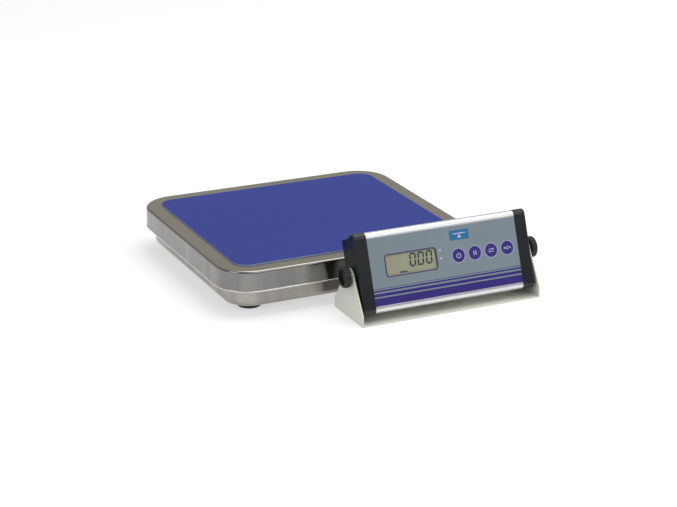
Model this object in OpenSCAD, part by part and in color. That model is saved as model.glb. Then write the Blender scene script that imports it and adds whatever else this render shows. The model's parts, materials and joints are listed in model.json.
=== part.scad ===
// Animal weighing scale: low weighing platform with a free-standing display on a tilting bracket.
// Millimetres. +Z up, +X to the right, +Y away from the reader. The floor is z = 0.

/* [Platform] */
// Width of the platter, left to right
platter_width = 320; // [300:1:340]
// Depth of the platter, front to back
platter_depth = 295; // [280:1:310]
// Height of the steel top above the floor
platter_top = 54.4; // [53:0.2:58]
// Height of the skirt's lower edge above the floor
skirt_bottom = 29.8; // [26:0.2:32]
// Corner radius of the platter
platter_corner = 41; // [34:1:46]
// Rounding of the platter's top edge
platter_edge = 3; // [2:0.5:5]
// How far the hem along the skirt's lower edge stands out
hem = 0.5; // [0.3:0.1:1]
// Sheet thickness of the platter and the base
sheet = 1.2; // [1:0.1:1.5]
// Steel border left showing around the mat
rim_width = 20; // [14:1:26]
// Corner radius of the mat
mat_corner = 17; // [10:1:24]
// Thickness of the mat
mat_thickness = 1.2; // [0.8:0.2:2]
// How far the base stands in from the platter
base_inset = 10.5; // [8:0.5:12]
// Height of the base's underside above the floor
base_bottom = 8.2; // [7:0.2:9]
// Height of the base's top edge above the floor
base_top = 42; // [38:1:44]
// Rounding of the base's lower edge
base_edge = 6; // [4:0.5:8]

/* [Feet] */
// Radius of a foot pad
foot_radius = 14; // [11:0.5:16]
// Distance of a foot's axis from the base's sides
foot_inset = 31; // [27:0.5:34]
// Radius of the foot stud, M8
stud_radius = 4; // [4:0.5:5]
// How far a foot screws out
foot_travel = 8; // [4:1:8]

/* [Load cell] */
// Length of the single-point load cell
cell_length = 130; // [120:1:150]
// Width of the load cell
cell_width = 30; // [25:1:40]
// Height of the load cell
cell_height = 22; // [22:1:22]
// Half the spacing of the load pads, left to right
pad_x = 95; // [85:1:100]
// Half the spacing of the load pads, front to back
pad_y = 80; // [70:1:85]

/* [Display] */
// Position of the display's middle, right of the platform's centre
display_x = 77.5; // [60:0.5:90]
// Distance of the display's tilt axis in front of the platform's centre
display_y = 191; // [191:1:200]
// Height of the tilt axis above the floor
axis_height = 49; // [49:0.5:54]
// Backward lean of the display's face from upright
face_tilt = 20; // [0:1:45]
// Length over the end caps
display_length = 215.2; // [210:0.2:215.2]
// Height of the display's case
case_height = 90; // [86:1:90]
// Depth of the display's case
case_depth = 33; // [33:1:34]
// Radius of the case's front corners
case_corner = 6; // [5:0.5:7]
// How far the case's top and bottom slope in towards its back
case_slope = 5.5; // [4:0.5:6]
// Wall of the extruded case
case_wall = 2; // [2:0.1:2.4]
// Length of an end cap
cap_length = 14.8; // [14:0.2:16]

/* [Face] */
// Width of the printed overlay
overlay_width = 185.6; // [180:0.2:185.6]
// Height of the printed overlay
overlay_height = 75; // [72:1:76]
// Thickness of the overlay
overlay_thickness = 0.5; // [0.4:0.1:0.6]
// Width of the display window
window_width = 62; // [56:1:64]
// Height of the display window
window_height = 22.8; // [20:0.2:24]
// Radius of a button
button_radius = 7.2; // [6:0.1:7.6]
// Distance between buttons
button_pitch = 20.7; // [18:0.1:22]
// How far a button goes in
button_travel = 0.4; // [0.2:0.1:0.4]

/* [Bracket] */
// Sheet thickness of the bracket
bracket_sheet = 1.5; // [1.2:0.1:1.6]
// Outside width of the bracket
bracket_width = 223.2; // [223.2:0.2:226]
// Reach of the bracket's base plate in front of the tilt axis
bracket_front = 34; // [30:1:36]
// Reach of the base plate behind the tilt axis
bracket_back = 38; // [34:1:40]
// Height of the ear's upright lower edges
ear_lip = 12; // [10:0.5:16]
// Radius of the ear's round top
ear_round = 9; // [8:0.5:11]

/* [Clamp knobs] */
// Radius of a knob
knob_radius = 12.2; // [10:0.2:14]
// Length of a knob
knob_length = 7.6; // [6:0.2:10]
// Number of flutes around a knob
knob_flutes = 24; // [12:1:30]
// How far a knob screws out
knob_travel = 3; // [1:0.5:4]

/* [Part choice] */
// Node to draw, or all

/* [Hidden] */
$fn = 64;

eps = 0.01;
gap = 0.1;
running = 0.05;

// Platform
pan_under = platter_top - sheet;
base_width = platter_width - 2 * base_inset;
base_depth = platter_depth - 2 * base_inset;
base_corner = platter_corner - base_inset;
base_floor = base_bottom + sheet;
base_flange = 8;
mat_width = platter_width - 2 * rim_width;
mat_depth = platter_depth - 2 * rim_width;
foot_x = base_width / 2 - foot_inset;
foot_y = base_depth / 2 - foot_inset;
FEET = [[-foot_x, -foot_y], [foot_x, -foot_y], [foot_x, foot_y], [-foot_x, foot_y]];
PADS = [[-pad_x, -pad_y], [pad_x, -pad_y], [pad_x, pad_y], [-pad_x, pad_y]];
pad_radius = 10;
frame_thickness = 6;
lower_spacer_height = 4;
cell_bottom = base_floor + lower_spacer_height;
cell_top = cell_bottom + cell_height;
frame_bottom = cell_top + 3;
frame_top = frame_bottom + frame_thickness;
spacer_length = 37;
cell_screw_r = 3;
CELL_SCREWS = [cell_length / 2 - 9, cell_length / 2 - 28];
rib_y = 45;
rail_y = 58;
rail_height = 8;
gland_y = -60;
gland_z = 22;
stop_gap = 0.5;

// Feet
washer_thickness = 0.4;
pad_height = base_bottom - washer_thickness - gap;
nut_flat = 13;
nut_height = 6.5;
stud_top = base_floor + nut_height + 9;

// Display
case_length = display_length - 2 * cap_length;
front = case_depth / 2;
cap_proud = 0.3;
inner_front = front - overlay_thickness - case_wall;
board_n = 2.2;
board_thickness = 1.6;
BUTTONS = [for (i = [0:3]) 16.6 + i * button_pitch];
button_v = 4;
window_x = -42.5;
window_v = 5;
rim_n = 11;
knee_n = 2;
knee_drop = 4;
// Screw ports: height, depth and boss radius
PORTS = [for (s = [-1, 1]) each [
  [s * (case_height / 2 - 7), front - 7, 5.5], [s * (case_height / 2 - 10), 5.5 - front, 4.2]]];
port_r = 1.45;
board_height = 76;
tray_v = -8.4;
SOCKET = [-55, 20.2];
JACK = [-25, 20.2];
pivot_stud_r = 3;
ear_out = bracket_width / 2;
ear_in = ear_out - bracket_sheet;
cap_out = display_length / 2;
washer_out = ear_out + gap + 1.2;
knob_out = washer_out + gap + knob_length;
CELLS = [for (i = [-1:1]) i * 50.6];

// Shift that centres the whole object on the origin
shift_x = -(ear_extent() - platter_width / 2 - hem) / 2;
shift_y = -(platter_depth / 2 + hem - display_y - bracket_front) / 2;
function ear_extent() = display_x + knob_out;

// Rounded rectangle, centred
module outline(w, d, r) {
  square([w - 2 * r, d], center = true);
  square([w, d - 2 * r], center = true);
  for (sx = [-1, 1]) for (sy = [-1, 1])
    translate([sx * (w / 2 - r), sy * (d / 2 - r)]) circle(r);
}

// Upright block with rounded corners
module prism(w, d, r, z0, z1) {
  translate([0, 0, z0]) linear_extrude(z1 - z0) outline(w, d, r);
}

// Half section of a block's edge: reach r from the corner's axis, height h, top rounded by e
module edge_section(r, h, e) {
  square([r, h - e]);
  square([r - e, h]);
  translate([r - e, h - e]) circle(e);
}

// Upright block with rounded corners and a rounded top edge
module slab(w, d, r, h, e) {
  linear_extrude(h) square([w - 2 * r, d - 2 * r], center = true);
  for (s = [-1, 1]) {
    translate([s * (w / 2 - r), 0, 0]) rotate([90, 0, s > 0 ? 0 : 180])
      translate([0, 0, -(d / 2 - r)]) linear_extrude(d - 2 * r) edge_section(r, h, e);
    translate([0, s * (d / 2 - r), 0]) rotate([90, 0, s > 0 ? 90 : 270])
      translate([0, 0, -(w / 2 - r)]) linear_extrude(w - 2 * r) edge_section(r, h, e);
  }
  for (q = [0:3]) translate([(q % 3 == 0 ? 1 : -1) * (w / 2 - r), (q < 2 ? 1 : -1) * (d / 2 - r), 0])
    rotate(q * 90) rotate_extrude(angle = 90) edge_section(r, h, e);
}

// Places a module drawn on the platform
module on_platform() {
  translate([shift_x, shift_y, 0]) children();
}

// Places a display part: x along the tilt axis, y up the face, z out of the face
module on_display() {
  on_platform() translate([display_x, -display_y, axis_height])
    rotate([90 - face_tilt, 0, 0]) children();
}

// Places a part on the bracket: x along the tilt axis, floor at z = 0
module on_bracket() {
  on_platform() translate([display_x, -display_y, 0]) children();
}

// Round bar along x from a to b
module bar_x(r, a, b) {
  translate([a, 0, 0]) rotate([0, 90, 0]) cylinder(r = r, h = b - a);
}

module base_pan() color([0.62, 0.6, 0.56]) on_platform() difference() {
  union() {
    difference() {
      translate([0, 0, base_top]) mirror([0, 0, 1])
        slab(base_width, base_depth, base_corner, base_top - base_bottom, base_edge);
      translate([0, 0, base_top + eps]) mirror([0, 0, 1])
        slab(base_width - 2 * sheet, base_depth - 2 * sheet, base_corner - sheet,
          base_top + eps - base_floor, base_edge - sheet);
    }
    difference() {
      prism(base_width - sheet, base_depth - sheet, base_corner - sheet / 2,
        base_top - sheet, base_top);
      prism(base_width - 2 * base_flange, base_depth - 2 * base_flange,
        base_corner - base_flange, base_top - 2 * sheet, base_top + 1);
    }
  }
  for (p = FEET) translate([p[0], p[1], 0]) cylinder(r = stud_radius + 0.5, h = base_floor + 1);
  for (x = CELL_SCREWS) translate([-x, 0, 0]) cylinder(r = cell_screw_r + 0.3, h = base_floor + 1);
  translate([base_width / 2 - 5, gland_y, gland_z]) rotate([0, 90, 0]) cylinder(r = 5.1, h = 10);
}

module base_rails() color([0.55, 0.56, 0.58]) on_platform()
  for (s = [-1, 1]) translate([0, s * rail_y, base_floor]) difference() {
    translate([-85, -12, 0]) cube([170, 24, rail_height]);
    translate([-86, -12 + sheet, -1]) cube([172, 24 - 2 * sheet, rail_height + 1 - sheet]);
    for (x = [-60, -20, 20, 60]) translate([x, 0, 0]) cylinder(r = 6, h = rail_height + 1);
  }

module lower_spacer() color([0.5, 0.5, 0.52]) on_platform() difference() {
  translate([-cell_length / 2, -cell_width / 2, base_floor])
    cube([spacer_length, cell_width, lower_spacer_height]);
  for (x = CELL_SCREWS) translate([-x, 0, 0]) cylinder(r = cell_screw_r + 0.3, h = cell_bottom + 1);
}

module load_cell() color([0.75, 0.76, 0.78]) on_platform() difference() {
  translate([-cell_length / 2, -cell_width / 2, cell_bottom])
    cube([cell_length, cell_width, cell_height]);
  for (s = [-1, 1]) translate([s * 16, 0, cell_bottom + cell_height / 2])
    rotate([90, 0, 0]) cylinder(r = 8, h = cell_width + 2, center = true);
  translate([-16, -cell_width / 2 - 1, cell_bottom + cell_height / 2 - 3])
    cube([32, cell_width + 2, 6]);
  for (x = CELL_SCREWS) {
    translate([-x, 0, cell_bottom - 1]) cylinder(r = cell_screw_r + running, h = 15);
    translate([x, 0, cell_top - 14]) cylinder(r = cell_screw_r + running, h = 15);
  }
}

module upper_spacer() color([0.5, 0.5, 0.52]) on_platform() difference() {
  translate([cell_length / 2 - spacer_length, -cell_width / 2, cell_top])
    cube([spacer_length, cell_width, frame_bottom - cell_top]);
  for (x = CELL_SCREWS) translate([x, 0, cell_top - 1])
    cylinder(r = cell_screw_r + 0.3, h = frame_bottom - cell_top + 2);
}

module lower_cell_screws() color([0.7, 0.7, 0.72]) on_platform()
  for (x = CELL_SCREWS) translate([-x, 0, 0]) difference() {
    union() {
      translate([0, 0, base_bottom - 3]) cylinder(r = 5.2, h = 3);
      translate([0, 0, base_bottom - 1]) cylinder(r = cell_screw_r, h = cell_bottom + 14 - base_bottom);
    }
    translate([0, 0, base_bottom - 4]) cylinder(r = 2.3, h = 2.8, $fn = 6);
  }

module upper_cell_screws() color([0.7, 0.7, 0.72]) on_platform()
  for (x = CELL_SCREWS) translate([x, 0, 0]) difference() {
    union() {
      translate([0, 0, frame_top - 4]) cylinder(r = 5, h = 3.8);
      translate([0, 0, cell_top - 12]) cylinder(r = cell_screw_r, h = frame_top - 3 - cell_top + 12);
    }
    translate([0, 0, frame_top - 2.4]) cylinder(r = 2.9, h = 3, $fn = 6);
  }

arm_length = norm([pad_x - 50, pad_y]);
arm_angle = atan2(pad_y, pad_x - 50);

module top_frame() color([0.72, 0.73, 0.75]) on_platform() difference() {
  translate([0, 0, frame_bottom]) linear_extrude(frame_thickness) difference() {
    union() {
      square([150, 46], center = true);
      for (sx = [-1, 1]) for (sy = [-1, 1]) {
        translate([sx * 50, 0]) rotate(sx > 0 ? sy * arm_angle : 180 - sy * arm_angle)
          translate([0, -11]) square([arm_length, 22]);
        translate([sx * pad_x, sy * pad_y]) circle(15);
      }
      for (sy = [-1, 1]) translate([0, sy * pad_y]) square([2 * pad_x, 14], center = true);
    }
    translate([-28, 0]) circle(9);
    translate([0, 0]) circle(9);
  }
  for (x = CELL_SCREWS) translate([x, 0, 0]) {
    translate([0, 0, frame_bottom - 1]) cylinder(r = cell_screw_r + 0.3, h = frame_thickness + 2);
    translate([0, 0, frame_top - 4]) cylinder(r = 5.4, h = 5);
  }
  for (p = PADS) translate([p[0], p[1], frame_bottom - 1]) cylinder(r = 3, h = frame_thickness + 2);
}

module load_pads() color([0.12, 0.12, 0.13]) on_platform()
  for (p = PADS) translate([p[0], p[1], 0]) {
    translate([0, 0, frame_top]) cylinder(r = pad_radius, h = pan_under - gap - frame_top);
    translate([0, 0, frame_bottom + 0.5]) cylinder(r = 2.95, h = frame_top - frame_bottom);
  }

module overload_stops() color([0.66, 0.66, 0.68]) on_platform()
  for (p = PADS) translate([p[0], p[1], base_floor]) {
    cylinder(r = 3, h = frame_bottom - stop_gap - base_floor);
    cylinder(r = 5.77, h = 5, $fn = 6);
    translate([0, 0, 12]) cylinder(r = 5.77, h = 5, $fn = 6);
  }

module cable_gland() color([0.13, 0.13, 0.14]) on_platform()
  translate([base_width / 2, gland_y, gland_z]) rotate([0, 90, 0]) difference() {
    union() {
      cylinder(r = 7.5, h = 4, $fn = 6);
      translate([0, 0, 4]) cylinder(r = 6, h = 5);
      translate([0, 0, 9]) cylinder(r1 = 6, r2 = 4.4, h = 3);
      translate([0, 0, -9]) cylinder(r = 5, h = 10);
      translate([0, 0, -sheet - 3.5]) cylinder(r = 7.5, h = 3.5, $fn = 6);
    }
    translate([0, 0, -10]) cylinder(r = 2.6, h = 30);
  }

module level_vial() color([0.75, 0.85, 0.45]) on_platform() translate([-55, 0, frame_top]) {
  cylinder(r = 9, h = 5.6);
  translate([0, 0, 5.6]) cylinder(r = 7.6, h = 1.2);
}

module foot_nuts() color([0.68, 0.68, 0.7]) on_platform()
  for (p = FEET) translate([p[0], p[1], base_floor]) difference() {
    cylinder(r = nut_flat / sqrt(3), h = nut_height, $fn = 6);
    translate([0, 0, -1]) cylinder(r = stud_radius + running, h = nut_height + 2);
  }

module platter() color([0.68, 0.66, 0.62]) on_platform() difference() {
  translate([0, 0, skirt_bottom]) {
    slab(platter_width, platter_depth, platter_corner, platter_top - skirt_bottom, platter_edge);
    slab(platter_width + 2 * hem, platter_depth + 2 * hem, platter_corner + hem, 1.3, hem);
  }
  translate([0, 0, skirt_bottom - eps])
    slab(platter_width - 2 * sheet, platter_depth - 2 * sheet, platter_corner - sheet,
      pan_under - skirt_bottom + eps, platter_edge - sheet);
}

module platter_ribs() color([0.6, 0.6, 0.6]) on_platform()
  for (s = [-1, 1]) translate([0, s * rib_y, pan_under - 6]) difference() {
    translate([-110, -12, 0]) cube([220, 24, 6]);
    translate([-111, -12 + sheet, sheet]) cube([222, 24 - 2 * sheet, 6]);
  }

module platter_cups() color([0.6, 0.6, 0.6]) on_platform()
  for (p = PADS) translate([p[0], p[1], pan_under - 4]) difference() {
    cylinder(r = pad_radius + 2, h = 4);
    translate([0, 0, -1]) cylinder(r = pad_radius + 0.5, h = 6);
  }

module mat() color([0.22, 0.26, 0.6]) on_platform()
  prism(mat_width, mat_depth, mat_corner, platter_top, platter_top + mat_thickness);

module foot_washer(i) color([0.7, 0.7, 0.72]) on_platform()
  translate([FEET[i][0], FEET[i][1], pad_height]) difference() {
    cylinder(r = 9, h = washer_thickness);
    translate([0, 0, -1]) cylinder(r = stud_radius + running, h = 3);
  }

module foot_pad(i) color([0.08, 0.08, 0.09]) on_platform() translate([FEET[i][0], FEET[i][1], 0]) {
  difference() {
    union() {
      cylinder(r1 = foot_radius - 1, r2 = foot_radius, h = 1);
      translate([0, 0, 1]) cylinder(r = foot_radius, h = pad_height - 2.2);
      translate([0, 0, pad_height - 1.2]) cylinder(r1 = foot_radius, r2 = foot_radius - 1, h = 1.2);
    }
    translate([0, 0, 2]) cylinder(r = stud_radius, h = pad_height);
    translate([0, 0, 2]) cylinder(r = 7, h = 2, $fn = 6);
    difference() {
      translate([0, 0, -1]) cylinder(r = 9, h = 1.6);
      translate([0, 0, -2]) cylinder(r = 7.4, h = 4);
    }
  }
}

module foot_stud(i) color([0.74, 0.74, 0.76]) on_platform() translate([FEET[i][0], FEET[i][1], 0]) {
  translate([0, 0, 2]) cylinder(r = 7, h = 2, $fn = 6);
  translate([0, 0, 3]) cylinder(r = stud_radius, h = stud_top - 3.6);
  translate([0, 0, stud_top - 0.6]) cylinder(r1 = stud_radius, r2 = stud_radius - 0.6, h = 0.6);
}

// Ear outline: upright lower edges, sides tangent to the round top
ear_rise = axis_height - ear_lip;
function ear_lean(reach) = atan2(reach, ear_rise) - asin(ear_round / norm([reach, ear_rise]));
function ear_tangent(reach) = [
  ear_round * cos(ear_lean(reach)), axis_height + ear_round * sin(ear_lean(reach))];

module ear() {
  f = ear_tangent(bracket_front);
  b = ear_tangent(bracket_back);
  difference() {
    union() {
      polygon([
        [-bracket_front, 0], [bracket_back, 0], [bracket_back, ear_lip], [b[0], b[1]],
        [0, axis_height], [-f[0], f[1]], [-bracket_front, ear_lip]
      ]);
      translate([0, axis_height]) circle(ear_round);
    }
    translate([0, axis_height]) circle(pivot_stud_r + running);
  }
}

module bracket() color([0.85, 0.85, 0.8]) on_bracket() difference() {
  union() {
    translate([-ear_out, -bracket_front, 0])
      cube([bracket_width, bracket_front + bracket_back, bracket_sheet]);
    for (x = [-ear_out, ear_in]) translate([x, 0, 0]) rotate([90, 0, 90])
      linear_extrude(bracket_sheet) ear();
  }
  for (x = [-70, 70]) for (y = [12, 30]) translate([x, y, -1]) cylinder(r = 2.6, h = 4);
}

// Wedges that slope the case's top and bottom in towards its back, drawn height by depth
module slope_cut(grow) {
  top = case_height / 2 + grow;
  for (s = [-1, 1]) polygon([
    [s * (top + 1), rim_n + 2.25], [s * top, rim_n], [s * (top - knee_drop), knee_n],
    [s * (top - case_slope), -front - grow], [s * (top - case_slope), -front - 5], [s * (top + 1), -front - 5]
  ]);
}

// Case section drawn height by depth, with the face to the +y side
module case_section(grow) {
  difference() {
    outline(case_height + 2 * grow, case_depth + 2 * grow, case_corner + grow);
    slope_cut(grow);
  }
}

module case() color([0.86, 0.86, 0.88]) on_display() difference() {
  rotate([90, 0, 90]) translate([0, 0, -case_length / 2]) linear_extrude(case_length) difference() {
    union() {
      difference() {
        case_section(0);
        case_section(-case_wall);
      }
      for (p = PORTS) translate([p[0], p[1]]) circle(p[2]);
      for (sv = [-1, 1]) for (sn = [-1, 1])
        translate([sv * (board_height / 2 + 0.6), board_n + board_thickness / 2 + sn * 1.7])
          square([4, 1.6], center = true);
      translate([0, front - case_wall / 2 - 0.4])
        square([case_height - 14, case_wall + 0.8], center = true);
    }
    for (p = PORTS) translate([p[0], p[1]]) circle(port_r);
  }
  translate([0, 0, front - overlay_thickness]) linear_extrude(2)
    outline(overlay_width + 2, overlay_height, 1);
  translate([window_x, window_v, 0]) linear_extrude(front + 1)
    outline(window_width - 0.8, window_height - 0.8, 2.6);
  for (x = BUTTONS) translate([x, button_v, 0]) {
    translate([0, 0, front - 1.9]) cylinder(r = button_radius + 0.5, h = 4);
    cylinder(r = 2.4, h = front + 2);
  }
  translate([SOCKET[0], SOCKET[1], -front - 2]) cylinder(r = 8.1, h = case_wall + 4);
  translate([JACK[0], JACK[1], -front - 2]) cylinder(r = 4.1, h = case_wall + 4);
}

// End cap drawn with its inner face at x = 0 and its outer face at +x
module cap_body() {
  difference() {
    rotate([90, 0, 90]) slab(case_height + 2 * cap_proud, case_depth + 2 * cap_proud,
      case_corner + cap_proud, cap_length, 1.4);
    rotate([90, 0, 90]) translate([0, 0, -1]) linear_extrude(cap_length + 2) slope_cut(cap_proud);
    rotate([90, 0, 90]) translate([0, 0, -1]) linear_extrude(cap_length - 2) difference() {
      outline(72, case_depth - 8, 4);
      square([16, 40], center = true);
      for (p = PORTS) translate([p[0], p[1]]) circle(p[2]);
    }
    for (p = PORTS) translate([0, p[0], p[1]]) {
      bar_x(1.6, -1, cap_length + 1);
      bar_x(2.9, cap_length - 1.4, cap_length + 1);
    }
    bar_x(4.5, cap_length - 12, cap_length + 1);
  }
}

module cap_left() color([0.12, 0.14, 0.15]) on_display()
  translate([-case_length / 2, 0, 0]) mirror([1, 0, 0]) cap_body();

module cap_right() color([0.12, 0.14, 0.15]) on_display()
  translate([case_length / 2, 0, 0]) cap_body();

module cap_screws() color([0.35, 0.36, 0.38]) on_display()
  for (s = [0, 1]) mirror([s, 0, 0]) for (p = PORTS)
    translate([0, p[0], p[1]]) difference() {
      union() {
        bar_x(port_r, case_length / 2 - 8, case_length / 2 + cap_length - 1);
        bar_x(2.8, case_length / 2 + cap_length - 1.3, case_length / 2 + cap_length - 0.2);
      }
      translate([case_length / 2 + cap_length - 0.8, -0.4, -1.8]) cube([2, 0.8, 3.6]);
      translate([case_length / 2 + cap_length - 0.8, -1.8, -0.4]) cube([2, 3.6, 0.8]);
    }

module pivot_inserts() color([0.78, 0.64, 0.32]) on_display()
  for (s = [0, 1]) mirror([s, 0, 0]) difference() {
    bar_x(4.45, cap_out - 11.9, cap_out);
    bar_x(pivot_stud_r + running, cap_out - 13, cap_out + 1);
  }

module pivot_washers() color([0.1, 0.1, 0.1]) on_display()
  for (s = [0, 1]) mirror([s, 0, 0]) difference() {
    bar_x(8.5, cap_out, ear_in - gap);
    bar_x(pivot_stud_r + running, cap_out - 1, ear_in + 1);
  }

module overlay() color([0.5, 0.55, 0.6]) on_display()
  translate([0, 0, front - overlay_thickness + 0.02]) linear_extrude(overlay_thickness - 0.02)
    difference() {
      outline(overlay_width - 0.2, overlay_height - 0.2, 1);
      translate([window_x, window_v]) outline(window_width, window_height, 3);
      for (x = BUTTONS) translate([x, button_v]) circle(button_radius + 0.06);
    }

module window() color([0.75, 0.8, 0.75, 0.5]) on_display()
  translate([window_x, window_v, front - overlay_thickness + 0.02])
    linear_extrude(overlay_thickness - 0.12) outline(window_width - 0.2, window_height - 0.2, 2.9);

module lcd_module() color([0.62, 0.62, 0.5]) on_display() translate([window_x, window_v, 0]) {
  translate([0, 0, 9.5]) linear_extrude(3.7) outline(68, 32, 1);
  translate([0, 0, 13]) linear_extrude(front - 13.9) outline(window_width - 1.4, window_height - 1.4, 2.3);
  for (s = [-1, 1]) translate([-32, s * 13.5 - 1, board_n + board_thickness])
    cube([64, 2, 9.5 - board_n - board_thickness]);
}

module circuit_board() color([0.1, 0.35, 0.2]) on_display() {
  translate([0, 0, board_n]) linear_extrude(board_thickness) outline(174, board_height, 1);
  translate([34, -18, board_n + board_thickness]) linear_extrude(1.8) square([12, 12], center = true);
  translate([60, -22, board_n + board_thickness]) linear_extrude(1.6) square([16, 7], center = true);
  for (i = [0:4]) translate([-70 + 12 * i, -26, board_n + board_thickness]) cylinder(r = 3, h = 5);
  translate([-48, 21.5, board_n + board_thickness]) cube([18, 6.5, 5]);
}

module key_switches() color([0.2, 0.2, 0.22]) on_display()
  for (x = BUTTONS) translate([x, button_v, board_n + board_thickness]) difference() {
    translate([0, 0, 1.75]) cube([6.2, 6.2, 3.5], center = true);
    translate([0, 0, 2]) cylinder(r = 1.65, h = 3);
  }

module battery_tray() color([0.1, 0.1, 0.11]) on_display() translate([0, tray_v, 0]) difference() {
  translate([-79, -17.5, -front + case_wall]) cube([158, 35, 14]);
  for (x = CELLS) for (s = [-1, 1]) translate([0, s * 8, -6.4]) bar_x(7.4, x - 25.7, x + 25.7);
  translate([-76.4, -16, -6.4]) cube([152.8, 32, 20]);
}

module batteries() color([0.25, 0.45, 0.3]) on_display()
  for (x = CELLS) for (s = [-1, 1]) translate([0, tray_v + s * 8, -6.4]) {
    bar_x(7.1, x - 24.6, x + 24.6);
    bar_x(2.6, x + 24.6, x + 25.2);
  }

module cell_socket() color([0.6, 0.6, 0.62]) on_display() translate([SOCKET[0], SOCKET[1], -front]) {
  difference() {
    union() {
      translate([0, 0, -1.6]) cylinder(r = 10, h = 1.6);
      translate([0, 0, -7]) cylinder(r = 8, h = 14);
      translate([0, 0, case_wall]) cylinder(r = 10.4, h = 2, $fn = 6);
    }
    translate([0, 0, -8]) cylinder(r = 6.6, h = 7.4);
  }
  for (i = [0:4]) rotate(i * 72) translate([3.6, 0, -5.5]) cylinder(r = 0.6, h = 5.5);
}

module power_jack() color([0.09, 0.09, 0.1]) on_display() translate([JACK[0], JACK[1], -front]) {
  difference() {
    union() {
      translate([0, 0, -2]) cylinder(r = 5.6, h = 2);
      translate([0, 0, -1]) cylinder(r = 4, h = 12);
      translate([0, 0, case_wall]) cylinder(r = 5.6, h = 2, $fn = 6);
    }
    translate([0, 0, -3]) cylinder(r = 2.8, h = 12);
  }
  translate([0, 0, -1.6]) cylinder(r = 1, h = 11.6);
}

module sounder() color([0.1, 0.1, 0.1]) on_display()
  translate([70, 27, board_n - 5.5]) cylinder(r = 6, h = 5.5);

module knob_washer() {
  difference() {
    bar_x(8, ear_out + gap, washer_out);
    bar_x(pivot_stud_r + running, ear_out - 1, washer_out + 1);
  }
}

// Fluted knob with a sunken outer face
module knob() {
  difference() {
    union() {
      bar_x(9, washer_out + gap, washer_out + gap + 1);
      bar_x(knob_radius, washer_out + gap + 1, knob_out - 0.8);
      translate([knob_out - 0.8, 0, 0]) rotate([0, 90, 0])
        cylinder(r1 = knob_radius, r2 = knob_radius - 0.8, h = 0.8);
    }
    for (i = [0:knob_flutes - 1]) rotate([i * 360 / knob_flutes, 0, 0])
      translate([0, 0, knob_radius + 0.3]) bar_x(1.35, washer_out, knob_out + 1);
    bar_x(knob_radius - 3.4, knob_out - 2.6, knob_out + 1);
    bar_x(pivot_stud_r, washer_out, washer_out + gap + 4);
  }
}

module knob_stud() {
  bar_x(pivot_stud_r, cap_out - 10, washer_out + gap + 4);
}

module knob_washer_right() color([0.7, 0.7, 0.72]) on_display() knob_washer();
module knob_washer_left() color([0.7, 0.7, 0.72]) on_display() mirror([1, 0, 0]) knob_washer();
module knob_right() color([0.09, 0.09, 0.1]) on_display() knob();
module knob_left() color([0.09, 0.09, 0.1]) on_display() mirror([1, 0, 0]) knob();
module knob_stud_right() color([0.7, 0.7, 0.72]) on_display() knob_stud();
module knob_stud_left() color([0.7, 0.7, 0.72]) on_display() mirror([1, 0, 0]) knob_stud();

// Round key with a stem that reaches into its switch
module button(i) color([0.2, 0.16, 0.45]) on_display() translate([BUTTONS[i], button_v, 0]) {
  translate([0, 0, front - 1.3]) cylinder(r = button_radius, h = 1.5);
  translate([0, 0, 11]) cylinder(r = 2, h = front - 12);
  translate([0, 0, board_n + board_thickness + 2.5]) cylinder(r = 1.6, h = 11 - board_n - board_thickness);
}

base_pan();
base_rails();
lower_spacer();
load_cell();
upper_spacer();
lower_cell_screws();
upper_cell_screws();
top_frame();
load_pads();
overload_stops();
cable_gland();
level_vial();
foot_nuts();
platter();
platter_ribs();
platter_cups();
mat();
foot_washer(0);  // foot_washer_1
foot_pad(0);  // foot_pad_1
foot_stud(0);  // foot_stud_1
foot_washer(1);  // foot_washer_2
foot_pad(1);  // foot_pad_2
foot_stud(1);  // foot_stud_2
foot_washer(2);  // foot_washer_3
foot_pad(2);  // foot_pad_3
foot_stud(2);  // foot_stud_3
foot_washer(3);  // foot_washer_4
foot_pad(3);  // foot_pad_4
foot_stud(3);  // foot_stud_4
bracket();
case();
cap_left();
cap_right();
cap_screws();
pivot_inserts();
pivot_washers();
overlay();
window();
lcd_module();
circuit_board();
key_switches();
battery_tray();
batteries();
cell_socket();
power_jack();
sounder();
knob_washer_left();
knob_left();
knob_stud_left();
knob_washer_right();
knob_right();
knob_stud_right();
button(0);  // button_1
button(1);  // button_2
button(2);  // button_3
button(3);  // button_4
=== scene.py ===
import json
import math
import bpy
import bmesh
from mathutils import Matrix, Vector


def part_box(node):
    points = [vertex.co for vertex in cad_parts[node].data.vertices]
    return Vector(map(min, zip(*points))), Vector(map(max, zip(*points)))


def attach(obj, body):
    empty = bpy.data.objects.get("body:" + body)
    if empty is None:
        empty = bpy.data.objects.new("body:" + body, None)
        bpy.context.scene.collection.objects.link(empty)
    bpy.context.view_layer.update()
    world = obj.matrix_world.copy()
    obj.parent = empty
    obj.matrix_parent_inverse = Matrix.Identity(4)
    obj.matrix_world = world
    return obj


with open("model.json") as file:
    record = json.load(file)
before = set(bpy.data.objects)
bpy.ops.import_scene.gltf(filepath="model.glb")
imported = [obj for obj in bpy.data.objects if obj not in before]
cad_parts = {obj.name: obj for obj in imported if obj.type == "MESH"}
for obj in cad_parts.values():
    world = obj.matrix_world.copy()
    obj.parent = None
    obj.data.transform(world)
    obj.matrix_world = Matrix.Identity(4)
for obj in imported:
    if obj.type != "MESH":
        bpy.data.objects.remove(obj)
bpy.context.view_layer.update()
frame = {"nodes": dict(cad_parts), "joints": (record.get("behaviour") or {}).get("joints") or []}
nodes = frame["nodes"]
scene = bpy.context.scene
scene.view_settings.view_transform = "Standard"

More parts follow.
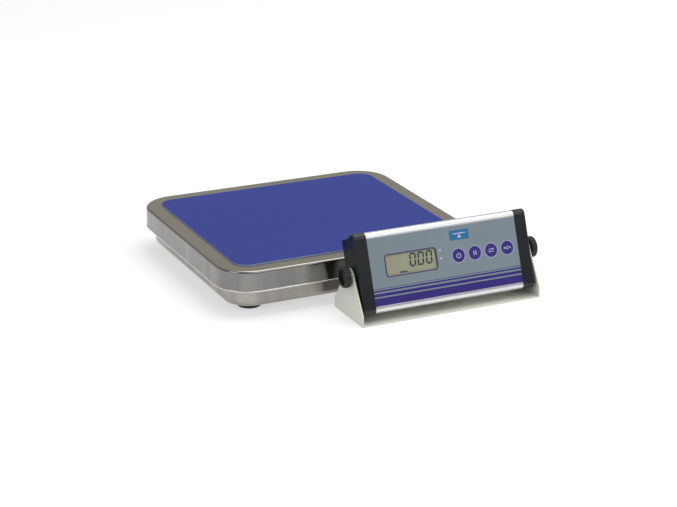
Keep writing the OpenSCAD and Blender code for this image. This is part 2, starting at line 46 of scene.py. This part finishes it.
# Places worked out from the CAD boxes
lo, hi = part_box("platter")
PLAT = Vector(((lo.x + hi.x) / 2, (lo.y + hi.y) / 2, 0.0))
tilt = next(j for j in frame["joints"] if j["name"] == "display_tilt")
AXIS = Vector(tilt["pos_m"])
LEAN = math.radians(20)
EX = Vector((1, 0, 0))
EV = Vector((0, math.sin(LEAN), math.cos(LEAN)))
EN = Vector((0, -math.cos(LEAN), math.sin(LEAN)))


def on_face(x, v, n):
    """The place of a point given in millimetres along the display, up its face and out of it."""
    return AXIS + (EX * x + EV * v + EN * n) / 1000


# Camera, at the photograph's viewing angle
cam_data = bpy.data.cameras.new("camera")
cam_data.lens = 105.3
cam_data.sensor_width = 36
cam = bpy.data.objects.new("camera", cam_data)
scene.collection.objects.link(cam)
cam.location = (PLAT.x - 0.91038, PLAT.y - 2.03217, 0.80425)
cam.rotation_euler = (math.radians(90 - 19.667), 0, math.radians(-25.113))
scene.camera = cam


# Material helpers
class Mat:
    def __init__(self, name, **inputs):
        self.m = bpy.data.materials.new(name)
        self.m.use_nodes = True
        self.t = self.m.node_tree
        self.b = self.t.nodes["Principled BSDF"]
        for key, value in inputs.items():
            self.b.inputs[key.replace("_", " ")].default_value = value

    def node(self, kind, **kw):
        n = self.t.nodes.new("ShaderNode" + kind)
        for key, value in kw.items():
            setattr(n, key, value)
        return n

    def link(self, a, b):
        self.t.links.new(a, b)

    def coords(self, scale=(1, 1, 1)):
        tc = self.node("TexCoord")
        mp = self.node("Mapping")
        mp.inputs["Scale"].default_value = scale
        self.link(tc.outputs["Object"], mp.inputs["Vector"])
        return mp.outputs["Vector"]

    def noise(self, vector, scale, detail=4, rough=0.5):
        n = self.node("TexNoise")
        n.inputs["Scale"].default_value = scale
        n.inputs["Detail"].default_value = detail
        n.inputs["Roughness"].default_value = rough
        self.link(vector, n.inputs["Vector"])
        return n.outputs["Fac"]

    def ramp(self, fac, stops):
        r = self.node("ValToRGB")
        r.color_ramp.elements[0].position = stops[0][0]
        r.color_ramp.elements[0].color = rgba(stops[0][1])
        r.color_ramp.elements[-1].position = stops[-1][0]
        r.color_ramp.elements[-1].color = rgba(stops[-1][1])
        for p, c in stops[1:-1]:
            e = r.color_ramp.elements.new(p)
            e.color = rgba(c)
        self.link(fac, r.inputs["Fac"])
        return r.outputs["Color"]

    def spread(self, fac, low, high):
        r = self.node("MapRange")
        r.inputs["To Min"].default_value = low
        r.inputs["To Max"].default_value = high
        self.link(fac, r.inputs["Value"])
        return r.outputs["Result"]

    def math(self, op, a, b=None, clamp=False):
        n = self.node("Math", operation=op, use_clamp=clamp)
        for i, v in enumerate((a, b)):
            if v is None:
                continue
            if isinstance(v, (int, float)):
                n.inputs[i].default_value = v
            else:
                self.link(v, n.inputs[i])
        return n.outputs[0]

    def mix(self, fac, a, b, blend="MIX"):
        n = self.node("Mix", data_type="RGBA", blend_type=blend)
        for sock, v in ((n.inputs[0], fac), (n.inputs[6], a), (n.inputs[7], b)):
            if isinstance(v, (int, float)):
                sock.default_value = v
            elif isinstance(v, (tuple, list)):
                sock.default_value = rgba(v)
            else:
                self.link(v, sock)
        return n.outputs[2]

    def bevel(self, radius):
        n = self.node("Bevel", samples=6)
        n.inputs["Radius"].default_value = radius
        return n.outputs["Normal"]

    def bump(self, height, distance, strength=1.0, normal=None):
        n = self.node("Bump")
        n.inputs["Distance"].default_value = distance
        n.inputs["Strength"].default_value = strength
        self.link(height, n.inputs["Height"])
        if normal is not None:
            self.link(normal, n.inputs["Normal"])
        return n.outputs["Normal"]

    def edge_wear_and_highlight(self, radius, low=0.02, high=0.16):
        """1 along sharp edges, 0 on flat faces."""
        g = self.node("NewGeometry")
        d = self.node("VectorMath", operation="DOT_PRODUCT")
        self.link(self.bevel(radius), d.inputs[0])
        self.link(g.outputs["Normal"], d.inputs[1])
        r = self.node("MapRange")
        r.inputs["From Min"].default_value = 1 - low
        r.inputs["From Max"].default_value = 1 - high
        self.link(d.outputs["Value"], r.inputs["Value"])
        return r.outputs["Result"]

    def set(self, **links):
        for key, out in links.items():
            self.link(out, self.b.inputs[key.replace("_", " ")])
        return self.m


def rgba(c):
    if isinstance(c, (int, float)):
        return (c, c, c, 1)
    return tuple(c) if len(c) == 4 else (*c, 1)


def srgb(r, g, b):
    f = lambda u: u / 12.92 if u <= 0.04045 else ((u + 0.055) / 1.055) ** 2.4
    return tuple(f(v / 255) for v in (r, g, b))


def paint(material, *names):
    for n in names:
        me = nodes[n].data
        me.materials.clear()
        me.materials.append(material)


def shade(colour, gain):
    """A colour made darker or lighter, kept within 1."""
    return tuple(min(1, c * gain) for c in colour)


def brushed(name, colour, rough=(0.2, 0.32), bump=0.00005, painted_hem_highlight_z=None, painted_top_light_gain=None):
    """Brushed sheet: fine streaks along X on top, level ones on the sides, and a band at its foot painted
    lighter as a painted highlight along the hem.

    Below the given hem height the sheet is painted lighter, a painted highlight along the hem, and the top
    gain multiplies the top's colour, painted light that makes the top lighter than the sides.
    """
    m = Mat(name, Metallic=1.0)
    top = m.noise(m.coords((6, 900, 900)), 1.0, 6, 0.62)
    side = m.noise(m.coords((9, 9, 1500)), 1.0, 6, 0.62)
    drawn = m.noise(m.coords((260, 260, 4)), 1.0, 3, 0.5)
    cloud = m.noise(m.coords(), 14.0, 3, 0.5)
    g = m.node("NewGeometry")
    sep = m.node("SeparateXYZ")
    m.link(g.outputs["Normal"], sep.inputs[0])
    up = m.math("ABSOLUTE", sep.outputs["Z"])
    upright = m.math("SUBTRACT", 1.0, up, True)
    streak = m.mix(up, side, top)
    grain = m.mix(m.math("MULTIPLY", upright, 0.35), streak, drawn)
    tone = m.ramp(grain, [(0.25, shade(colour, 0.8)), (0.75, shade(colour, 1.14))])
    tone = m.mix(0.5, tone, m.ramp(cloud, [(0.3, shade(colour, 0.88)), (0.7, shade(colour, 1.04))]))
    # Random vertical light and dark bands on the upright sides: a painted streaky reflection.
    painted_reflection_bands = m.spread(m.noise(m.coords((34, 34, 2.5)), 1.0, 3, 0.5), 0.5, 1.5)
    tone = m.mix(upright, tone, m.mix(1.0, tone, painted_reflection_bands, "MULTIPLY"))
    # The top is multiplied lighter and warmer than the upright sides: painted light on the top.
    if painted_top_light_gain is not None:
        tone = m.mix(m.math("POWER", up, 6.0), tone, m.mix(1.0, tone, painted_top_light_gain, "MULTIPLY"))
    # Much lighter along sharp edges: a painted edge highlight.
    edge = m.edge_wear_and_highlight(0.0009)
    tone = m.mix(m.math("MULTIPLY", edge, 0.9), tone, shade(colour, 3.2))
    # A lighter band at the foot of the sheet: a painted highlight along the hem.
    if painted_hem_highlight_z is not None:
        place = m.node("SeparateXYZ")
        m.link(m.node("TexCoord").outputs["Object"], place.inputs[0])
        foot = m.math("LESS_THAN", place.outputs["Z"], painted_hem_highlight_z)
        tone = m.mix(m.math("MULTIPLY", foot, 0.8), tone, (0.74, 0.73, 0.7))
    r = m.math("ADD", m.spread(grain, rough[0], rough[1]), m.spread(cloud, -0.03, 0.05))
    tangent = m.node("Tangent", direction_type="RADIAL", axis="Z")
    m.b.inputs["Anisotropic Rotation"].default_value = 0.25
    m.link(tangent.outputs[0], m.b.inputs["Tangent"])
    return m.set(Base_Color=tone, Roughness=r, Anisotropic=m.spread(upright, 0.0, 0.75),
                 Normal=m.bump(grain, bump, 0.6, m.bevel(0.0005)))


def plain_metal(name, colour, rough=0.35, bevel=0.0003):
    m = Mat(name, Metallic=1.0)
    n = m.noise(m.coords(), 420.0, 4)
    tone = m.ramp(n, [(0.3, shade(colour, 0.82)), (0.7, colour)])
    return m.set(Base_Color=tone, Roughness=m.spread(n, rough - 0.08, rough + 0.1),
                 Normal=m.bump(n, 0.00002, 0.5, m.bevel(bevel)))


def moulded(name, colour, rough=0.42, grain=1100.0, depth=0.00004, bevel=0.0004, edge_wear_and_highlight_weight=0.25):
    """Moulded plastic or rubber with a fine spark-eroded grain and lighter edges, partly wear and partly a
    painted edge highlight.
    """
    m = Mat(name, Specular_IOR_Level=0.45)
    fine = m.noise(m.coords(), grain, 3, 0.6)
    broad = m.noise(m.coords(), 26.0, 3, 0.5)
    tone = m.ramp(broad, [(0.3, shade(colour, 0.85)), (0.7, shade(colour, 1.12))])
    # Lighter along sharp edges: partly wear, partly a painted edge highlight.
    edge = m.edge_wear_and_highlight(bevel)
    tone = m.mix(m.math("MULTIPLY", edge, edge_wear_and_highlight_weight), tone, tuple(min(1, c * 1.8 + 0.02) for c in colour))
    r = m.math("ADD", m.spread(fine, rough - 0.06, rough + 0.08), m.spread(broad, -0.04, 0.05))
    return m.set(Base_Color=tone, Roughness=r, Normal=m.bump(fine, depth, 0.7, m.bevel(bevel)))


# Platform
# Painted light on the platter: its top is painted lighter than its sides, and a light line is painted along
# its hem.
steel = brushed("brushed_stainless", (0.24, 0.236, 0.226), (0.16, 0.26), painted_hem_highlight_z=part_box("platter")[0].z + 0.0012,
                painted_top_light_gain=(1.62, 1.54, 1.34))
base_steel = brushed("base_stainless", (0.36, 0.34, 0.315), (0.2, 0.32))
inner_steel = brushed("pressed_sheet", (0.42, 0.42, 0.42), (0.3, 0.45), 0.00003)
cast = plain_metal("machined_aluminium", (0.62, 0.63, 0.65), 0.4)
zinc = plain_metal("zinc_plated", (0.63, 0.62, 0.58), 0.3)
nickel = plain_metal("nickel_plated", (0.66, 0.63, 0.57), 0.2)
brass = plain_metal("brass", (0.72, 0.52, 0.2), 0.28)
rubber = moulded("black_rubber", (0.018, 0.018, 0.019), 0.62, 700.0, 0.00008)
black = moulded("black_nylon", (0.02, 0.021, 0.023), 0.45)
# Strongly lighter edges on the end caps and knobs: painted edge highlights.
cap_black = moulded("end_cap_plastic", (0.008, 0.012, 0.0135), 0.26, 1300.0, 0.00003, 0.0006, 0.5)
knob_black = moulded("knob_plastic", (0.008, 0.008, 0.009), 0.28, 1300.0, 0.00003, 0.0003, 0.7)
black_oxide = plain_metal("black_oxide_steel", (0.05, 0.05, 0.055), 0.4)

paint(steel, "platter")
paint(base_steel, "base_pan")
paint(inner_steel, "platter_ribs", "platter_cups", "base_rails")
paint(cast, "top_frame", "load_cell", "lower_spacer", "upper_spacer")
paint(zinc, "lower_cell_screws", "upper_cell_screws", "overload_stops", "foot_nuts",
      "knob_washer_left", "knob_washer_right", "knob_stud_left", "knob_stud_right",
      *[f"foot_washer_{i}" for i in range(1, 5)], *[f"foot_stud_{i}" for i in range(1, 5)])
paint(rubber, "load_pads", "pivot_washers", *[f"foot_pad_{i}" for i in range(1, 5)])
paint(black, "cable_gland", "key_switches", "battery_tray", "power_jack", "sounder")
paint(black_oxide, "cap_screws")
paint(nickel, "cell_socket")
paint(brass, "pivot_inserts")
paint(cap_black, "cap_left", "cap_right")
paint(knob_black, "knob_left", "knob_right")


def mat_blue():
    """Vinyl mat with a fine pebble grain."""
    m = Mat("blue_vinyl", Specular_IOR_Level=0.14)
    v = m.node("TexVoronoi", feature="SMOOTH_F1")
    v.inputs["Scale"].default_value = 620.0
    m.link(m.coords(), v.inputs["Vector"])
    fine = m.noise(m.coords(), 1500.0, 3)
    broad = m.noise(m.coords(), 5.0, 3, 0.45)
    mid = m.noise(m.coords(), 60.0, 3, 0.5)
    base = (0.029, 0.046, 0.25)
    tone = m.ramp(broad, [(0.3, shade(base, 0.93)), (0.7, shade(base, 1.06))])
    pebble = m.ramp(v.outputs["Distance"], [(0.0, shade(base, 1.25)), (0.7, shade(base, 0.7))])
    tone = m.mix(0.18, tone, pebble)
    g = m.node("NewGeometry")
    sep = m.node("SeparateXYZ")
    m.link(g.outputs["Normal"], sep.inputs[0])
    # The mat's cut side walls are painted light blue to stand in for a lit edge: a painted highlight.
    cut_edge_painted_light = m.math("LESS_THAN", sep.outputs["Z"], 0.5)
    tone = m.mix(m.math("MULTIPLY", cut_edge_painted_light, m.spread(mid, 0.75, 0.95)), tone, srgb(176, 190, 222))
    h = m.math("ADD", m.math("MULTIPLY", v.outputs["Distance"], -0.7), m.math("MULTIPLY", fine, 0.3))
    r = m.math("ADD", m.spread(mid, 0.5, 0.6), m.spread(broad, -0.05, 0.05))
    return m.set(Base_Color=tone, Roughness=r, Normal=m.bump(h, 0.00006, 0.55, m.bevel(0.0005)))


paint(mat_blue(), "mat")


def extruded():
    """Satin anodised extrusion with fine die lines along its length."""
    m = Mat("anodised_extrusion", Metallic=1.0)
    lines = m.noise(m.coords((3, 1400, 1400)), 1.0, 5, 0.6)
    fine = m.noise(m.coords(), 1800.0, 2)
    tone = m.ramp(lines, [(0.3, (0.64, 0.64, 0.67)), (0.7, (0.8, 0.8, 0.82))])
    h = m.math("ADD", m.math("MULTIPLY", lines, 0.8), m.math("MULTIPLY", fine, 0.2))
    return m.set(Base_Color=tone, Roughness=m.spread(lines, 0.26, 0.4),
                 Normal=m.bump(h, 0.00002, 0.6, m.bevel(0.0003)))


paint(extruded(), "case")


def powder_coat():
    m = Mat("cream_powder_coat", Specular_IOR_Level=0.5)
    peel = m.noise(m.coords(), 520.0, 2, 0.4)
    broad = m.noise(m.coords(), 18.0, 3)
    base = (0.71, 0.71, 0.63)
    tone = m.ramp(broad, [(0.3, shade(base, 0.97)), (0.7, base)])
    # Lighter along sharp edges: a painted edge highlight.
    edge = m.edge_wear_and_highlight(0.0005)
    tone = m.mix(m.math("MULTIPLY", edge, 0.3), tone, (0.8, 0.8, 0.74))
    return m.set(Base_Color=tone, Roughness=m.spread(peel, 0.34, 0.46),
                 Normal=m.bump(peel, 0.00005, 0.5, m.bevel(0.0005)))


paint(powder_coat(), "bracket")

# What is printed on the display's face, in millimetres from the tilt axis
FIRST_KEY = 16.6
KEY_PITCH = 20.7
BUTTONS = [FIRST_KEY + KEY_PITCH * i for i in range(4)]
BUTTON_V = 4.0
KEY_RING = 8.5
KEY_DISC = 7.7
WINDOW = (-42.5, 5.0)
WINDOW_HALF = (32.3, 12.7)
WINDOW_ROUND = 4.2
STRIPES = ((-37.4, -28.8), (-27.2, -23.9), (-22.0, -20.2), (-18.9, -18.3))
PURPLE = srgb(47, 36, 117)


def overlay():
    """Printed polycarbonate overlay: grey field, level stripes, window outline and key rings."""
    m = Mat("printed_overlay", Specular_IOR_Level=0.4)
    tc = m.node("TexCoord")

    def along(direction):
        d = m.node("VectorMath", operation="DOT_PRODUCT")
        m.link(tc.outputs["Object"], d.inputs[0])
        d.inputs[1].default_value = direction
        return m.math("MULTIPLY", m.math("SUBTRACT", d.outputs["Value"], AXIS.dot(direction)), 1000.0)

    x, v = along(EX), along(EV)

    def band(a, b):
        return m.math("MULTIPLY", m.math("GREATER_THAN", v, a), m.math("LESS_THAN", v, b))

    def disc(cx, cv, r):
        dx, dv = m.math("SUBTRACT", x, cx), m.math("SUBTRACT", v, cv)
        rr = m.math("ADD", m.math("MULTIPLY", dx, dx), m.math("MULTIPLY", dv, dv))
        return m.math("LESS_THAN", rr, r * r)

    fine = m.noise(m.coords(), 2200.0, 2)
    broad = m.noise(m.coords(), 12.0, 2)
    field = m.ramp(broad, [(0.3, srgb(119, 132, 139)), (0.7, srgb(126, 139, 146))])
    tone = field
    for a, b in STRIPES:
        tone = m.mix(band(a, b), tone, PURPLE)

    def beyond(place, centre, half):
        """How far a place lies past the straight part of the window's outline, never below 0."""
        off = m.math("ABSOLUTE", m.math("SUBTRACT", place, centre))
        return m.math("MAXIMUM", m.math("SUBTRACT", off, half - WINDOW_ROUND), 0.0)

    qx = beyond(x, WINDOW[0], WINDOW_HALF[0])
    qv = beyond(v, WINDOW[1], WINDOW_HALF[1])
    dist = m.math("SQRT", m.math("ADD", m.math("MULTIPLY", qx, qx), m.math("MULTIPLY", qv, qv)))
    tone = m.mix(m.math("LESS_THAN", dist, WINDOW_ROUND), tone, srgb(54, 46, 90))
    for bx in BUTTONS:
        tone = m.mix(disc(bx, BUTTON_V, KEY_RING), tone, srgb(170, 163, 212))
        tone = m.mix(disc(bx, BUTTON_V, KEY_DISC), tone, PURPLE)
    return m.set(Base_Color=tone, Roughness=m.spread(fine, 0.3, 0.4),
                 Normal=m.bump(fine, 0.000015, 0.5, m.bevel(0.0003)))


paint(overlay(), "overlay")
key_purple = moulded("key_purple", PURPLE, 0.34, 2200.0, 0.000015, 0.0004, 0.3)
paint(key_purple, *[f"button_{i}" for i in range(1, 5)])


def clear(name, tint=(1, 1, 1), rough=0.03):
    """Thin clear sheet: light passes straight through, with a faint surface reflection."""
    m = Mat(name)
    glossy = m.node("BsdfGlossy")
    glossy.inputs["Roughness"].default_value = rough
    see = m.node("BsdfTransparent")
    see.inputs["Color"].default_value = rgba(tint)
    mixer = m.node("MixShader")
    fres = m.node("Fresnel")
    fres.inputs["IOR"].default_value = 1.4
    inside = m.node("NewGeometry").outputs["Backfacing"]
    m.link(m.math("MULTIPLY", fres.outputs[0], m.math("SUBTRACT", 1.0, inside)), mixer.inputs[0])
    m.link(see.outputs[0], mixer.inputs[1])
    m.link(glossy.outputs[0], mixer.inputs[2])
    m.link(mixer.outputs[0], m.t.nodes["Material Output"].inputs["Surface"])
    return m.m


paint(clear("clear_window", (0.96, 0.97, 0.94)), "window")


def lcd():
    m = Mat("lcd_reflector", Specular_IOR_Level=0.5)
    fine = m.noise(m.coords(), 1800.0, 2)
    broad = m.noise(m.coords(), 30.0, 2)
    tone = m.ramp(broad, [(0.3, srgb(168, 164, 149)), (0.7, srgb(176, 172, 157))])
    return m.set(Base_Color=tone, Roughness=m.spread(fine, 0.25, 0.32), Normal=m.bump(fine, 0.00001, 0.4))


paint(lcd(), "lcd_module")


def board():
    m = Mat("circuit_board", Specular_IOR_Level=0.5)
    b = m.node("TexBrick", offset=0.5)
    b.inputs["Scale"].default_value = 120.0
    b.inputs["Mortar Size"].default_value = 0.02
    b.inputs["Color1"].default_value = (0.012, 0.10, 0.045, 1)
    b.inputs["Color2"].default_value = (0.016, 0.13, 0.055, 1)
    b.inputs["Mortar"].default_value = (0.05, 0.22, 0.10, 1)
    m.link(m.coords(), b.inputs["Vector"])
    n = m.noise(m.coords(), 500.0, 3)
    return m.set(Base_Color=b.outputs["Color"], Roughness=m.spread(n, 0.3, 0.45),
                 Normal=m.bump(n, 0.00003, 0.4, m.bevel(0.0002)))


paint(board(), "circuit_board")


def sleeve():
    """Shrink sleeve on a cell, with a lighter band round one end."""
    m = Mat("cell_sleeve", Specular_IOR_Level=0.5)
    n = m.noise(m.coords(), 300.0, 3)
    w = m.node("TexWave", bands_direction="X")
    w.inputs["Scale"].default_value = 3.1
    m.link(m.coords(), w.inputs["Vector"])
    tone = m.ramp(w.outputs["Color"], [(0.4, (0.02, 0.10, 0.05)), (0.6, (0.05, 0.3, 0.13))])
    return m.set(Base_Color=tone, Roughness=m.spread(n, 0.25, 0.4),
                 Normal=m.bump(n, 0.00003, 0.3, m.bevel(0.0003)))


paint(sleeve(), "batteries")
vial = Mat("vial_acrylic", Transmission_Weight=0.6, IOR=1.45)
vn = vial.noise(vial.coords(), 200.0, 2)
paint(vial.set(Base_Color=vial.ramp(vn, [(0.3, (0.42, 0.62, 0.06)), (0.7, (0.5, 0.7, 0.1))]),
               Roughness=vial.spread(vn, 0.05, 0.12), Normal=vial.bevel(0.0004)), "level_vial")


# Printed and moulded details on the display's face
def link_mesh(name, bm, material, body):
    me = bpy.data.meshes.new(name)
    bmesh.ops.recalc_face_normals(bm, faces=bm.faces)
    bm.to_mesh(me)
    bm.free()
    ob = bpy.data.objects.new(name, me)
    scene.collection.objects.link(ob)
    me.materials.append(material)
    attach(ob, body)


def face_prism(bm, pts, n0, n1):
    """A flat shape on the display's face, between two heights out of it."""
    low = [bm.verts.new(on_face(x, v, n0)) for x, v in pts]
    top = [bm.verts.new(on_face(x, v, n1)) for x, v in pts]
    bm.faces.new(top)
    bm.faces.new(low[::-1])
    for i in range(len(pts)):
        j = (i + 1) % len(pts)
        bm.faces.new((low[i], low[j], top[j], top[i]))


def arc(cx, cv, r, a0, a1, steps):
    return [(cx + r * math.cos(math.radians(a0 + (a1 - a0) * i / steps)),
             cv + r * math.sin(math.radians(a0 + (a1 - a0) * i / steps))) for i in range(steps + 1)]


def stroke(pts, w):
    """Outline of a line of width w through pts."""
    left, right = [], []
    for i, (x, v) in enumerate(pts):
        a = pts[max(0, i - 1)]
        b = pts[min(len(pts) - 1, i + 1)]
        d = math.hypot(b[0] - a[0], b[1] - a[1]) or 1
        nx, nv = -(b[1] - a[1]) / d * w / 2, (b[0] - a[0]) / d * w / 2
        left.append((x + nx, v + nv))
        right.append((x - nx, v - nv))
    return left + right[::-1]


# Heights out of the display's face, and the thickness of what is printed there
LCD_TOP = 15.6
FACE_TOP = 16.5
KEY_TOP = 16.7
LCD_INK = 0.06
KEY_INK = 0.04
FACE_INK = 0.03

# The digits on the LCD
ZERO_BARS = "abcdef"
DIGITS_X = (-40.0, -29.9, -19.6)
DIGIT_V = 7.7
DIGIT_WIDTH = 8.0
DIGIT_HEIGHT = 15.2
DIGIT_STROKE = 1.9


def segments(cx, cv, w, h, t, which, slant=0.08):
    """The lit bars of one seven-bar digit, as flat hexagons."""
    out = []
    g = 0.22
    ym, yt, yb = 0, h / 2 - t / 2, -h / 2 + t / 2
    xr, xl = w / 2 - t / 2, -w / 2 + t / 2
    flat = {"a": yt, "g": ym, "d": yb}
    side = {"b": (xr, ym, yt), "c": (xr, yb, ym), "e": (xl, yb, ym), "f": (xl, ym, yt)}
    for s in which:
        if s in flat:
            y = flat[s]
            p = [(xl + g, y), (xl + g + t / 2, y + t / 2), (xr - g - t / 2, y + t / 2), (xr - g, y),
                 (xr - g - t / 2, y - t / 2), (xl + g + t / 2, y - t / 2)]
        else:
            x, a, b = side[s]
            p = [(x, a + g), (x + t / 2, a + g + t / 2), (x + t / 2, b - g - t / 2), (x, b - g),
                 (x - t / 2, b - g - t / 2), (x - t / 2, a + g + t / 2)]
        out.append([(cx + px + slant * py, cv + py) for px, py in p])
    return out


ink = Mat("lcd_ink", Roughness=0.35)
ink_n = ink.noise(ink.coords(), 900.0, 2)
ink_m = ink.set(Base_Color=ink.ramp(ink_n, [(0.3, srgb(14, 46, 56)), (0.7, srgb(20, 54, 64))]))
bm = bmesh.new()
for cx in DIGITS_X:
    for pts in segments(cx, DIGIT_V, DIGIT_WIDTH, DIGIT_HEIGHT, DIGIT_STROKE, ZERO_BARS):
        face_prism(bm, pts, LCD_TOP, LCD_TOP + LCD_INK)
face_prism(bm, [(-35.4, 0.1), (-33.9, 0.1), (-33.8, 1.5), (-35.3, 1.5)], LCD_TOP, LCD_TOP + LCD_INK)
for i in range(4):
    x = -57.6 + i * 2.4
    face_prism(bm, [(x, -5.1), (x + 1.7, -5.1), (x + 1.7, -3.1), (x, -3.1)], LCD_TOP, LCD_TOP + LCD_INK)
link_mesh("lcd_digits", bm, ink_m, "display")

white = Mat("white_print", Roughness=0.4)
white_n = white.noise(white.coords(), 900.0, 2)
white_m = white.set(Base_Color=white.ramp(white_n, [(0.3, srgb(186, 182, 216)), (0.7, srgb(196, 192, 224))]))


def key_icon(i):
    cx, cv = BUTTONS[i], BUTTON_V
    bm = bmesh.new()
    shapes = []
    if i == 0:
        ring = stroke(arc(cx, cv - 0.2, 2.6, 125, 415, 26), 0.75)
        shapes = [ring, stroke([(cx, cv + 0.2), (cx, cv + 3.2)], 0.75)]
    elif i == 1:
        shapes = [stroke([(cx + s * 1.3, cv - 2.4), (cx + s * 1.3, cv + 2.4)], 1.0) for s in (-1, 1)]
    elif i == 2:
        for s in (-1, 1):
            row = cv + s * 1.3
            shapes.append(stroke([(cx - 2.8, row), (cx + 2.8, row)], 0.7))
            shapes.append([(cx + s * 3.6, row), (cx + s * 2.0, row + 1.3), (cx + s * 2.0, row - 1.3)])
    else:
        shapes = [stroke(arc(cx, cv, 1.5, 0, 350, 24), 0.65)]
        for s in (-1, 1):
            shapes.append([(cx + s * 2.4, cv), (cx + s * 4.2, cv + 1.5), (cx + s * 4.2, cv - 1.5)])
    for pts in shapes:
        face_prism(bm, pts, KEY_TOP, KEY_TOP + KEY_INK)
    link_mesh(f"key_symbol_{i + 1}", bm, white_m, f"button_{i + 1}")


for i in range(4):
    key_icon(i)

# Two pointers beside the window and a plain badge with a balance pictogram
bm = bmesh.new()
for v in (13.1, 4.0):
    face_prism(bm, [(-8.0, v), (-4.6, v + 1.5), (-4.6, v - 1.5)], FACE_TOP, FACE_TOP + FACE_INK)
link_mesh("unit_pointers", bm, white_m, "display")

badge = Mat("badge_print", Roughness=0.35)
badge_n = badge.noise(badge.coords(), 700.0, 2)
badge_m = badge.set(Base_Color=badge.ramp(badge_n, [(0.3, srgb(20, 104, 150)), (0.7, srgb(26, 112, 158))]))
BADGE = (20.6, 27.0)
BADGE_HALF = (11.0, 4.4)
BADGE_ROUND = 1.2
bm = bmesh.new()
outline = []
for sx, sv, start in ((1, 1, 0), (-1, 1, 90), (-1, -1, 180), (1, -1, 270)):
    cx, cv = BADGE[0] + sx * BADGE_HALF[0], BADGE[1] + sv * BADGE_HALF[1]
    outline += arc(cx, cv, BADGE_ROUND, start, start + 90, 6)
face_prism(bm, outline, FACE_TOP, FACE_TOP + FACE_INK)
link_mesh("badge", bm, badge_m, "display")
bm = bmesh.new()
for pts in (stroke([(BADGE[0] - 7.5, BADGE[1] + 1.6), (BADGE[0] + 7.5, BADGE[1] + 1.6)], 1.0),
            [(BADGE[0] - 2.6, BADGE[1] - 3.2), (BADGE[0] + 2.6, BADGE[1] - 3.2), (BADGE[0], BADGE[1] + 1.0)]):
    face_prism(bm, pts, FACE_TOP + FACE_INK, FACE_TOP + 2 * FACE_INK)
link_mesh("badge_pictogram", bm, white_m, "display")

# Floor, light and surroundings
bpy.ops.mesh.primitive_plane_add(size=60, location=(0, 0, -0.0002))
floor = bpy.context.object
floor.name = "floor"
fm = Mat("floor_white", Roughness=0.9, Specular_IOR_Level=0.1, Emission_Strength=0.54)
fm.b.inputs["Emission Color"].default_value = (1, 1, 1, 1)
floor_tone = fm.ramp(fm.noise(fm.coords(), 0.5, 2), [(0.3, 0.5), (0.7, 0.51)])
floor.data.materials.append(fm.set(Base_Color=floor_tone))

world = bpy.data.worlds.new("studio")
scene.world = world
world.use_nodes = True
wt = world.node_tree
bg = wt.nodes["Background"]
wc = wt.nodes.new("ShaderNodeTexCoord")
ws = wt.nodes.new("ShaderNodeSeparateXYZ")
wt.links.new(wc.outputs["Generated"], ws.inputs[0])


def sky_ramp(axis, stops):
    r = wt.nodes.new("ShaderNodeValToRGB")
    for e, (p, c) in zip(r.color_ramp.elements, stops):
        e.position, e.color = p, rgba(c)
    wt.links.new(ws.outputs[axis], r.inputs["Fac"])
    return r.outputs["Color"]


# Dim towards the front, bright behind and overhead
depth = sky_ramp("Y", ((0.0, (0.26, 0.26, 0.27)), (0.6, (0.72, 0.71, 0.69))))
height = sky_ramp("Z", ((0.45, 0.0), (0.95, 1.0)))
blend = wt.nodes.new("ShaderNodeMix")
blend.data_type = "RGBA"
wt.links.new(height, blend.inputs[0])
wt.links.new(depth, blend.inputs[6])
blend.inputs[7].default_value = (1.0, 1.0, 1.0, 1)
wt.links.new(blend.outputs[2], bg.inputs["Color"])
bg.inputs["Strength"].default_value = 0.66


def area(name, loc, target, size, power, colour=(1, 1, 1)):
    d = bpy.data.lights.new(name, "AREA")
    d.shape = "RECTANGLE"
    d.size, d.size_y = size
    d.energy = power
    d.color = colour
    o = bpy.data.objects.new(name, d)
    scene.collection.objects.link(o)
    o.location = loc
    o.rotation_euler = (Vector(target) - Vector(loc)).to_track_quat("-Z", "Y").to_euler()


area("overhead", (0.45, 0.1, 2.4), (0, 0, 0), (2.0, 1.6), 27)
area("front_fill", (0.6, -2.4, 1.6), (0, 0, 0), (2.4, 1.0), 14)
area("left_fill", (-2.2, -0.8, 1.2), (0, 0, 0), (1.2, 1.2), 9)
area("right_key", (2.0, -0.4, 1.6), (0, 0, 0), (1.4, 1.4), 18)
